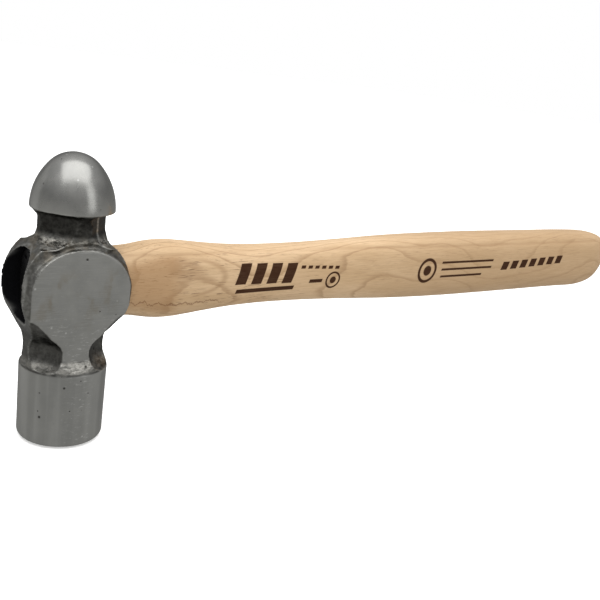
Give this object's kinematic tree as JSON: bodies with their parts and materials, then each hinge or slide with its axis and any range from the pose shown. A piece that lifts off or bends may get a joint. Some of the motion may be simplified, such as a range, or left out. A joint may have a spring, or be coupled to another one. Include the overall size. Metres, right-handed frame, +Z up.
{
  "type": "ball peen hammer",
  "caption": "Ball peen hammer with a forged steel head, a round striking face and ball, on a shaped hickory handle wedged into the eye.",
  "frame": {"origin": "centre of the flat striking face", "axes": "+Z runs up the head's axis from the striking face to the ball peen, +X runs along the handle from the head to the butt, and Y is across the cheeks"},
  "size_m": [0.3619, 0.0322, 0.1075],
  "materials": {
    "forged_steel": "forged, ground and lightly polished, with fine scratches and small pits",
    "hickory": "pale straight-grained hickory, sanded, with burnt marks",
    "wedge_wood": "hardwood wedge under the dark seal on the handle's end",
    "wedge_steel": "blackened steel wedges"
  },
  "bodies": {
    "root": {"head": "forged_steel", "handle": "hickory", "wooden_wedge": "wedge_wood", "steel_wedge_upper": "wedge_steel", "steel_wedge_lower": "wedge_steel"}
  },
  "joints": []
}
